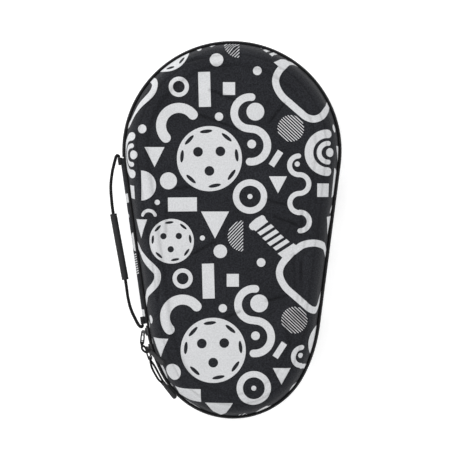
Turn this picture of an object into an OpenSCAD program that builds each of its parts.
// Hard clamshell case for one pickleball paddle.
// Millimetres. The case lies on its rear face: the origin is the centre of that face,
// +Z is the front of the case and +Y is its round top end. The spine is on the left, at -X.
// Every section is drawn as (d, h): d is the distance inward from the outermost edge
// line and h is the distance from the plane where the two halves meet.

/* [Outline] */
// Overall length, top to bottom
case_len = 440; // [420:1:470]
// Radius of the round top end
top_r = 128; // [120:1:136]
// Radius of the bottom end
bottom_r = 94; // [88:1:100]
// Radius of the curve that joins each side to the bottom end
flank_r = 172; // [160:1:190]
// Angle of each straight side from the long axis, degrees
side_angle = 7.7; // [6.5:0.1:9]
// Angle at which the flank curve meets the bottom end, degrees
bottom_angle = 28; // [26:0.5:32]

/* [Shells] */
// Thickness of the closed case
case_thick = 75; // [66:0.5:90]
// Height of each rim above the meeting plane
rim_h = 8; // [7:0.5:10]
// Distance of the rim inward from the edge line
rim_d = 4.75; // [4:0.05:6]
// Draft of the walls, degrees
draft = 15; // [8:1:20]
// Radius of the edge between wall and face
edge_r = 20; // [14:0.5:24]
// Thickness of the printed fabric skin
skin_t = 0.8; // [0.6:0.1:1.2]
// Thickness of the moulded foam
foam_t = 4; // [3:0.25:5]
// Thickness of the lining
lining_t = 0.8; // [0.6:0.1:1.2]

/* [Zip] */
// Radius of each row of teeth
coil_r = 1; // [0.8:0.05:1.1]
// Half gap between the two rows of teeth
coil_gap = 0.05; // [0.03:0.01:0.1]
// Radius of the piping bead on each rim
piping_r = 1.2; // [0.8:0.1:1.4]
// Position of the upper slider past the end of the spine, degrees of the flank curve
upper_at = 1.8; // [1.6:0.1:2.2]
// Position of the lower slider past the end of the spine, degrees of the flank curve
lower_at = 8.1; // [7.5:0.1:9]
// Length of each slider, degrees of the flank curve
slider_arc = 3; // [2.4:0.1:3.2]
// Distance between the holes of a pull tab
tab_len = 12; // [9:0.5:13]

/* [Spine] */
// Distance of the two fold lines outside the edge line
fold_x = 1; // [0.5:0.1:1.5]
// Outer radius of the curved spine panel
spine_r = 8.6; // [8.4:0.1:9]
// Thickness of the spine panel
spine_t = 1.2; // [1:0.1:1.5]
// Thickness of the spine lining
spine_lining_t = 0.8; // [0.5:0.1:1]

/* [Handle] */
// Radius of the handle cord
cord_r = 1.6; // [1.4:0.1:1.8]
// Radius of the cord ends that turn in the anchors
pin_r = 1.5; // [1.2:0.05:1.5]
// Clearance round each cord end
pin_gap = 0.1; // [0.05:0.01:0.1]
// Radius of the tubular grip
grip_r = 4; // [3.5:0.25:5]
// Length of each anchor tab
anchor_len = 8; // [6:0.5:8]

/* [Interior] */
// Width of the paddle strap
strap_w = 38; // [25:1:50]
// Position of the strap along the case
strap_y = -62; // [-80:1:-40]
// Height of the top edge of the net pocket
pocket_y = 34; // [20:1:60]

/* [Hidden] */
$fn = 48;

// Colours shared by several pieces
cover_color = [0.17, 0.17, 0.19];
shell_color = [0.12, 0.12, 0.13];
lining_color = [0.20, 0.20, 0.22];
piping_color = [0.07, 0.07, 0.08];
tape_color = [0.08, 0.08, 0.09];
coil_color = [0.05, 0.05, 0.06];
binding_color = [0.09, 0.09, 0.10];
anchor_color = [0.10, 0.10, 0.11];
cord_color = [0.07, 0.07, 0.07];
tab_color = [0.30, 0.30, 0.31];
tip_color = [0.13, 0.13, 0.13];

half_thick = case_thick / 2;        // depth of each half, and z of the meeting plane
inner_t = skin_t + foam_t + lining_t;
face_d = 36;                        // how far the swept wall panels reach inward
seam_gap = 0.03;                    // hairline between the butted panels of a layer

function plan_dir(angle) = [cos(angle), sin(angle)];
function unit(from, to) = (to - from) / norm(to - from);
function arc_degrees(len, r) = len / r * 180 / PI;

// Outline: tangent arcs (top, flank, bottom) and the straight side, on the left
side_dir = 180 + side_angle;        // outward from the left side
bottom_dir = 180 + bottom_angle;    // outward where the left flank meets the bottom end
side_len = ((top_r - flank_r) * cos(side_angle) + (flank_r - bottom_r) * cos(bottom_angle))
           / sin(side_angle);
top_c = [0, case_len / 2 - top_r];
side_top = top_c + top_r * plan_dir(side_dir);
side_bottom = side_top + side_len * plan_dir(side_dir + 90);
flank_c = side_bottom - flank_r * plan_dir(side_dir);
bottom_c = flank_c + (flank_r - bottom_r) * plan_dir(bottom_dir);

// Sweeps -----------------------------------------------------------------------

// Sweeps a (d, h) section along an arc of the outline, from angle a0 to a1,
// stopping half a seam short at each end
module arc_piece(center, r, a0, a1) {
    gap = arc_degrees(seam_gap / 2, r);
    translate([center[0], center[1], 0]) rotate([0, 0, a0 + gap])
        rotate_extrude(angle = a1 - a0 - 2 * gap, $fn = 240)
            translate([r, 0]) mirror([1, 0]) children();
}
module flank_piece() arc_piece(flank_c, flank_r, side_dir, bottom_dir) children();
module bottom_piece() arc_piece(bottom_c, bottom_r, bottom_dir, 360 - bottom_angle) children();

// Left side frame: x outward, y down the side, origin where the side meets the top arc
module left_side() translate([side_top[0], side_top[1], 0]) rotate([0, 0, side_dir]) children();

// Sweeps a (d, h) section along the left side, from y0 to y1
module side_piece(y0, y1)
    left_side() translate([0, y1 - seam_gap / 2, 0]) rotate([90, 0, 0])
        linear_extrude(y1 - y0 - seam_gap) mirror([1, 0]) children();

module on_right() mirror([1, 0, 0]) children();

// A (d, h) section swept round the whole outline
module ring() {
    arc_piece(top_c, top_r, -side_angle, side_dir) children();
    side_piece(0, side_len) children();
    on_right() side_piece(0, side_len) children();
    flank_piece() children();
    on_right() flank_piece() children();
    bottom_piece() children();
}

// A (d, h) section swept along the zip: everywhere except the spine,
// which lies between these two stations of the left side
zip_top_y = -10.4;
zip_end_y = 187.2;
module zip_ring() {
    arc_piece(top_c, top_r, -side_angle, side_dir + arc_degrees(zip_top_y, top_r)) children();
    on_right() side_piece(0, side_len) children();
    on_right() flank_piece() children();
    bottom_piece() children();
    flank_piece() children();
    side_piece(zip_end_y, side_len) children();
}

// The outline, moved inward by d
module outline(d) {
    inward = -d * plan_dir(side_dir);
    sector_len = 400;               // reaches past the flank
    translate(top_c) circle(r = top_r - d, $fn = 240);
    translate(bottom_c) circle(r = bottom_r - d, $fn = 240);
    for (side = [0, 1]) mirror([side, 0]) {
        polygon([top_c, side_top + inward, side_bottom + inward, flank_c]);
        intersection() {
            translate(flank_c) circle(r = flank_r - d, $fn = 360);
            polygon([flank_c, flank_c + sector_len * plan_dir(side_dir),
                     flank_c + sector_len * plan_dir(bottom_dir)]);
        }
    }
}

// Layers of a half -------------------------------------------------------------

wall_rise = [tan(draft), 1];              // step along the wall for each 1 mm of h
wall_out = [-cos(draft), sin(draft)];     // outward normal of the wall

// Centre of the arc between wall and face
edge_h = half_thick - edge_r;
edge_d = rim_d + edge_r * cos(draft) + (edge_h + edge_r * sin(draft) - rim_h) * tan(draft);

// Points of a half at depth t below its outer surface: on the rim and at the top of the wall
function rim_pt(t) = [rim_d + t / cos(draft), rim_h];
function wall_pt(t) = [edge_d, edge_h] + (edge_r - t) * wall_out;

// Section of one layer of a half, between depths t0 and t1 below its outer surface:
// a straight wall, a rounded edge and the margin of the face
module layer_section(t0, t1) {
    polygon([rim_pt(t0), rim_pt(t1), wall_pt(t1), wall_pt(t0)]);
    translate([edge_d, edge_h]) intersection() {
        difference() {
            circle(r = edge_r - t0, $fn = 96);
            circle(r = edge_r - t1, $fn = 96);
        }
        polygon([[0, 0], 2 * edge_r * wall_out, 2 * edge_r * [-1, 1], [0, 2 * edge_r]]);
    }
    translate([edge_d, half_thick - t1]) square([face_d - edge_d, t1 - t0]);
}

// One layer: wall panels round the outline and the panel of the face
module layer(t0, t1) {
    ring() layer_section(t0, t1);
    translate([0, 0, half_thick - t1]) linear_extrude(t1 - t0) outline(face_d + seam_gap);
}
module cover() layer(0, skin_t);
module shell() layer(skin_t, skin_t + foam_t);
module lining() layer(skin_t + foam_t, inner_t);

// Rim strips -------------------------------------------------------------------

piping_h = 1.3;               // where the piping lies on the wall, above the rim
piping_gap = 0.03;            // clearance between piping and wall
coil_d = 0.5;                 // inset of the teeth from the edge line
binding_t = 0.8;
binding_d = 1;                // start of the binding, inward from the rim's outer edge
binding_h = 5;                // height of the binding up the lining

module piping()
    ring() translate(rim_pt(0) + piping_h * wall_rise + (piping_r + piping_gap) * wall_out)
        circle(r = piping_r, $fn = 12);
module zip_tape()
    zip_ring() polygon([[rim_d + 0.15, rim_h], [rim_d + 0.85, rim_h], [2.5, 1.6], [1.9, 2.15]]);
module zip_coil()
    zip_ring() translate([coil_r + coil_d, coil_r + coil_gap]) circle(r = coil_r, $fn = 12);

// Covers the inner edge of the rim and turns up the face of the lining
module binding() {
    lining_pt = rim_pt(inner_t);
    outer_pt = rim_pt(inner_t + binding_t);
    ring() polygon([[rim_d + binding_d, rim_h - binding_t], outer_pt - [0, binding_t],
                    outer_pt + binding_h * wall_rise, lining_pt + binding_h * wall_rise,
                    lining_pt, [rim_d + binding_d, rim_h]]);
}

// Halves -----------------------------------------------------------------------

// Places a half drawn with h upward as the front or as the rear of the case
module as_front() translate([0, 0, half_thick]) children();
module as_rear() translate([0, 0, half_thick]) mirror([0, 0, 1]) children();

module rear_cover() color(cover_color) as_rear() cover();
module rear_shell() color(shell_color) as_rear() shell();
module rear_lining() color(lining_color) as_rear() lining();
module rear_piping() color(piping_color) as_rear() piping();
module rear_zip_tape() color(tape_color) as_rear() zip_tape();
module rear_zip_coil() color(coil_color) as_rear() zip_coil();
module rear_binding() color(binding_color) as_rear() binding();

module front_cover() color(cover_color) as_front() cover();
module front_shell() color(shell_color) as_front() shell();
module front_lining() color(lining_color) as_front() lining();
module front_piping() color(piping_color) as_front() piping();
module front_zip_tape() color(tape_color) as_front() zip_tape();
module front_zip_coil() color(coil_color) as_front() zip_coil();
module front_binding() color(binding_color) as_front() binding();

// Interior ---------------------------------------------------------------------

strap_len = 124;
strap_t = 1.6;
mesh_t = 1;
mesh_d = face_d - 2;          // inset of the net from the edge line
mesh_cut = [-200, -300];      // lower left corner of the area kept, clear of the outline
elastic = [168, 9, 2];        // length, width and thickness

// Elastic strap across the rear lining
module paddle_strap() color([0.06, 0.06, 0.07])
    translate([-strap_len / 2, strap_y - strap_w / 2, inner_t])
        cube([strap_len, strap_w, strap_t]);

// Net pocket flat against the lining of the front half, and its elastic top edge
module mesh_pocket() color([0.15, 0.15, 0.16])
    translate([0, 0, case_thick - inner_t - mesh_t]) linear_extrude(mesh_t) intersection() {
        outline(mesh_d);
        translate(mesh_cut) square([-2 * mesh_cut[0], pocket_y - mesh_cut[1]]);
    }
module pocket_elastic() color([0.05, 0.05, 0.05])
    translate([-elastic[0] / 2, pocket_y, case_thick - inner_t - elastic[2]]) cube(elastic);

// Spine ------------------------------------------------------------------------

spine_bulge = 0.6;                  // how far the panel stands outside the fold lines
spine_x = fold_x + spine_bulge - spine_r;   // centre of the curved panel
spine_top = -9;
spine_bottom = 184.3;
spine_h = 7;                        // half height of the panel and anchors
spine_lining_h = 6.2;               // half height of the lining
spine_lining_gap = 1.5;             // between the lining and each anchor, along the side
anchor_t = 2.4;
anchor_top = [-9.8, -9.8 + anchor_len];
anchor_bottom = [spine_bottom - anchor_len, spine_bottom];
pin_x = 2;                          // x of the axis the handle turns about

// Left side frame raised to the meeting plane
module at_spine() as_front() left_side() children();

// A curved band of the spine between two radii, up to height z each side
module spine_band(r0, r1, z, y0, y1)
    translate([0, y1, 0]) rotate([90, 0, 0]) linear_extrude(y1 - y0)
        intersection() {
            translate([spine_x, 0]) difference() {
                circle(r = r1, $fn = 96);
                circle(r = r0, $fn = 96);
            }
            translate([spine_x, -z]) square([30, 2 * z]);
        }

// A rod on the handle axis, from y0 to y1
module axis_rod(r, y0, y1)
    translate([pin_x, y0, 0]) rotate([-90, 0, 0]) cylinder(h = y1 - y0, r = r, $fn = 32);

// Bores for the two cord ends; the upper one starts 1 mm above top_y
module pin_bores(top_y) {
    axis_rod(pin_r + pin_gap, top_y - 1, anchor_top[1] + 1);
    axis_rod(pin_r + pin_gap, anchor_bottom[0] - 1, anchor_bottom[1] + 1);
}
module spine_panel() color(cover_color) at_spine() difference() {
    spine_band(spine_r - spine_t, spine_r, spine_h, spine_top, spine_bottom);
    pin_bores(spine_top);
}
module spine_lining() color(lining_color) at_spine()
    spine_band(spine_r - spine_t - spine_lining_t, spine_r - spine_t, spine_lining_h,
               anchor_top[1] + spine_lining_gap, anchor_bottom[0] - spine_lining_gap);
module anchor(span) at_spine() difference() {
    spine_band(spine_r, spine_r + anchor_t, spine_h, span[0], span[1]);
    pin_bores(anchor_top[0]);
}
module top_anchor() color(anchor_color) anchor(anchor_top);
module bottom_anchor() color(anchor_color) anchor(anchor_bottom);

// Handle -----------------------------------------------------------------------

bead_scale = 1.16;            // radius of a bead over the radius of its cord
rod_inset = 0.45;             // start of each rod past its bead centre, in cord radii

// A rod between two points
module rod(from, to, r) {
    v = to - from;
    translate(from) rotate([0, acos(v[2] / norm(v)), atan2(v[1], v[0])])
        cylinder(h = norm(v), r = r, $fn = 32);
}

// A cord through a list of points: rods between slightly larger beads
module cord(points, r) {
    for (i = [0 : len(points) - 2]) {
        inset = rod_inset * r * unit(points[i], points[i + 1]);
        rod(points[i] + inset, points[i + 1] - inset, r);
    }
    for (point = points) translate(point) sphere(r = r * bead_scale, $fn = 32);
}

// Stations of the cord in the spine frame (x outward, y down the side, z)
grip_top = [16.3, 55, 0];
grip_bottom = [13.2, 130, 0];
handle_path = [
    [pin_x, -11.4, 0], [3.3, -12.8, 0], [5.8, -12.2, 0], [8.8, -5.2, 0],
    [12.2, 6, 0], [14.8, 21, 0], [16.1, 38, 0], grip_top,
    grip_bottom, [13.1, 152, 0], [12.2, 166, 0], [9, 177.5, 0],
    [6.9, 184.3, 0], [4.3, 186.9, 0], [pin_x, 185.8, 0]];
pin_top_y = -10.8;            // outer ends of the two cord ends
pin_bottom_y = 185.2;
pin_reach = 0.6;              // how far they run past the inner end of each anchor
grip_inset = 2.6;             // from the cord stations to the ends of the grip
grip_bore_gap = 0.1;

module handle_cord() color(cord_color) at_spine() {
    cord(handle_path, cord_r);
    axis_rod(pin_r, pin_top_y, anchor_top[1] + pin_reach);
    axis_rod(pin_r, anchor_bottom[0] - pin_reach, pin_bottom_y);
}
module handle_grip() color([0.10, 0.10, 0.10]) at_spine() difference() {
    along = unit(grip_top, grip_bottom);
    rod(grip_top + grip_inset * along, grip_bottom - grip_inset * along, grip_r);
    rod(grip_top - along, grip_bottom + along, cord_r + grip_bore_gap);
}

// Zip sliders ------------------------------------------------------------------

bridge_x = 3.6;               // pivot of the pull tab outside the edge line
lug_x = 0.5;                  // inner end of the lugs
lug_size = [bridge_x + 0.9, 3, 1.1];
lug_z = [-1.2, 2.05];         // undersides of the two lugs
// (d, h) section of the plate over the teeth, with a wing that follows the front tape
slider_section = [[0.3, -1.3], [-0.9, -1.3], [-0.9, 2.6], [0.2, 3.5],
                  [2.1, 6.1], [3.1, 5.4], [1.5, 2.45], [0.3, 2.3]];

// Frame on the edge line of the left flank: x outward, y along the zip, z up
module on_flank(at)
    translate([flank_c[0], flank_c[1], half_thick]) rotate([0, 0, side_dir + at])
        translate([flank_r, 0, 0]) children();

module slider(at) {
    mid = side_dir + at;
    as_front() arc_piece(flank_c, flank_r, mid - slider_arc / 2, mid + slider_arc / 2)
        polygon(slider_section);
    // Lugs and pin that carry the pull tab
    on_flank(at) {
        for (z = lug_z) translate([lug_x, -lug_size[1] / 2, z]) cube(lug_size);
        translate([bridge_x, 0, -1]) cylinder(h = 4, r = 0.7, $fn = 32);
    }
}

// Pull tabs --------------------------------------------------------------------

tab_z = [0.2, 1.8];           // underside and top of each pull tab above the meeting plane
tab_r = 2.2;                  // radius of the ends, half the width
pivot_hole_r = 0.8;
cord_hole_r = 1.1;
window_x = 2.6;               // distance of the window from each hole centre
window_w = 2;

// Flat bail with a pivot hole, a window and a hole for the cord, drawn along +X
module tab_shape() translate([0, 0, tab_z[0]]) difference() {
    linear_extrude(tab_z[1] - tab_z[0]) {
        circle(r = tab_r, $fn = 32);
        translate([0, -tab_r]) square([tab_len, 2 * tab_r]);
        translate([tab_len, 0]) circle(r = tab_r, $fn = 32);
    }
    translate([0, 0, -1]) cylinder(h = 4, r = pivot_hole_r, $fn = 32);
    translate([tab_len, 0, -1]) cylinder(h = 4, r = cord_hole_r, $fn = 32);
    translate([window_x, -window_w / 2, -1]) cube([tab_len - 2 * window_x, window_w, 4]);
}

// The tab of the slider at this position, turned to an angle in plan
module pull_tab(at, angle)
    on_flank(at) translate([bridge_x, 0, 0]) rotate([0, 0, angle - (side_dir + at)]) tab_shape();

// Plan position of the cord hole of that tab
function tab_end(at, angle) =
    flank_c + (flank_r + bridge_x) * plan_dir(side_dir + at) + tab_len * plan_dir(angle);

// Pull cords and tips ----------------------------------------------------------

pull_cord_r = 1;
tip_r = 2.3;
tip_end_r = 2.45;             // radius of the ball at the free end
tip_end_inset = 2;            // ball centre back from the end point
tip_bore_gap = 0.05;
upper_angle = -96;            // direction of each tab in plan
lower_angle = -72;
// Middle stations of each cord, then the two end points of each tip
upper_mid = [[-104.2, -135.4, half_thick + 6.2], [-99.8, -139.2, half_thick + 9.6]];
lower_mid = [[-92.8, -157.4, half_thick + 6], [-86, -170, half_thick + 7]];
upper_tip = [[-94.6, -139.8, half_thick + 13.5], [-79.6, -152.4, half_thick + 33.8]];
lower_tip = [[-81.6, -175.8, half_thick + 7], [-66.6, -194.2, half_thick + 7]];

// A pin through the hole of the tab, then a cord that ends inside the tip
module pull_cord(hole, mid, tip) {
    along = unit(tip[0], tip[1]);
    translate([hole[0], hole[1], half_thick - 0.6]) cylinder(h = 4.5, r = pull_cord_r, $fn = 32);
    cord(concat([[hole[0], hole[1], half_thick + 4.2]], mid,
                [tip[0] - 2 * along, tip[0] + 4 * along]), pull_cord_r);
}

// A rod with a ball at its free end, bored for the cord
module pull_tip(tip) {
    along = unit(tip[0], tip[1]);
    ball_c = tip[1] - tip_end_inset * along;
    difference() {
        union() {
            rod(tip[0], ball_c, tip_r);
            translate(ball_c) sphere(r = tip_end_r, $fn = 32);
        }
        rod(tip[0] - along, tip[0] + 5.4 * along, pull_cord_r * bead_scale + tip_bore_gap);
    }
}

module upper_slider() color(anchor_color) slider(upper_at);
module upper_pull_tab() color(tab_color) pull_tab(upper_at, upper_angle);
module upper_pull_cord() color(cord_color)
    pull_cord(tab_end(upper_at, upper_angle), upper_mid, upper_tip);
module upper_pull_tip() color(tip_color) pull_tip(upper_tip);
module lower_slider() color(anchor_color) slider(lower_at);
module lower_pull_tab() color(tab_color) pull_tab(lower_at, lower_angle);
module lower_pull_cord() color(cord_color)
    pull_cord(tab_end(lower_at, lower_angle), lower_mid, lower_tip);
module lower_pull_tip() color(tip_color) pull_tip(lower_tip);

rear_cover();
rear_shell();
rear_lining();
rear_piping();
rear_zip_tape();
rear_zip_coil();
rear_binding();
paddle_strap();
front_cover();
front_shell();
front_lining();
front_piping();
front_zip_tape();
front_zip_coil();
front_binding();
mesh_pocket();
pocket_elastic();
spine_panel();
spine_lining();
top_anchor();
bottom_anchor();
handle_cord();
handle_grip();
upper_slider();
upper_pull_tab();
upper_pull_cord();
upper_pull_tip();
lower_slider();
lower_pull_tab();
lower_pull_cord();
lower_pull_tip();
